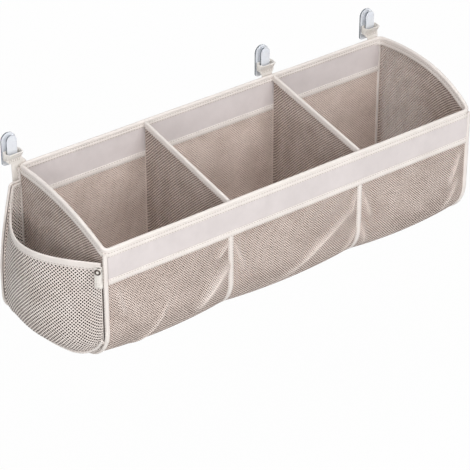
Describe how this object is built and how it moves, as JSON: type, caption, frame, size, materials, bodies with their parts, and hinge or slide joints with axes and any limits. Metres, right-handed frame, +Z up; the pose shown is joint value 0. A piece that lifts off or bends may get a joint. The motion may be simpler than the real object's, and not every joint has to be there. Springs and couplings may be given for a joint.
{
  "type": "bath toy organizer",
  "caption": "Wall-hung mesh basket with bays, a wire rim, cloth bands, an end pocket and a press-stud loop, lifted off clear adhesive hooks.",
  "frame": {"origin": "centre of the wall face of the middle hook's adhesive pad", "axes": "+X along the basket to the right as it is seen from the room, +Y into the wall, +Z up"},
  "size_m": [0.6661, 0.2049, 0.2556],
  "materials": {
    "hook_clear": "clear moulded",
    "adhesive": "matte foam tape",
    "webbing": "plain woven webbing",
    "binding_tape": "folded bias tape",
    "band_cloth": "plain weave",
    "stiffener": "plain sheet",
    "netting": "fine knitted mesh",
    "coarse_netting": "coarse knitted mesh",
    "steel_wire": "drawn wire",
    "snap_metal": "dark plated"
  },
  "bodies": {
    "wall_hooks": {"hook_left": "hook_clear", "hook_middle": "hook_clear", "hook_right": "hook_clear", "adhesive_pad_left": "adhesive", "adhesive_pad_middle": "adhesive", "adhesive_pad_right": "adhesive"},
    "hanging_straps": {"strap_left": "webbing", "strap_middle": "webbing", "strap_right": "webbing"},
    "basket": {"strap_tail_left": "webbing", "strap_tail_middle": "webbing", "strap_tail_right": "webbing", "snap_loop_leg": "webbing", "rim_binding_back": "binding_tape", "rim_binding_front": "binding_tape", "rim_binding_left": "binding_tape", "rim_binding_right": "binding_tape", "front_hem_tape": "binding_tape", "back_hem_tape": "binding_tape", "end_seam_left": "binding_tape", "end_seam_right": "binding_tape", "divider_binding_left": "binding_tape", "divider_binding_right": "binding_tape", "seam_tape_left": "binding_tape", "seam_tape_right": "binding_tape", "side_pocket_binding": "binding_tape", "side_pocket_piping": "binding_tape", "front_band_cloth": "band_cloth", "front_band_lining": "band_cloth", "back_band_cloth": "band_cloth", "back_band_lining": "band_cloth", "front_band_board": "stiffener", "back_band_board": "stiffener", "front_mesh_left": "netting", "front_mesh_middle": "netting", "front_mesh_right": "netting", "back_mesh": "netting", "bottom_mesh": "netting", "end_mesh_left": "netting", "end_mesh_right": "netting", "divider_mesh_left": "netting", "divider_mesh_right": "netting", "side_pocket_ear": "netting", "side_pocket_net": "coarse_netting", "rim_wire": "steel_wire", "snap_stud": "snap_metal"},
    "press_flap": {"snap_flap": "webbing", "snap_socket": "snap_metal", "snap_cap": "snap_metal"}
  },
  "joints": [
    {"name": "basket_lift", "type": "slide", "parent": "wall_hooks", "child": "hanging_straps", "axis": [0, 0, 1], "range_m": [0, 0.034]},
    {"name": "basket_swing", "type": "hinge", "parent": "hanging_straps", "child": "basket", "pos_m": [-0.0995, -0.0155, -0.022], "axis": [-1, 0, 0], "range_deg": [0, 35]},
    {"name": "snap_flap_open", "type": "hinge", "parent": "basket", "child": "press_flap", "pos_m": [-0.41474, -0.20114, -0.10895], "axis": [0.5878, -0.809, 0], "range_deg": [0, 120]}
  ]
}
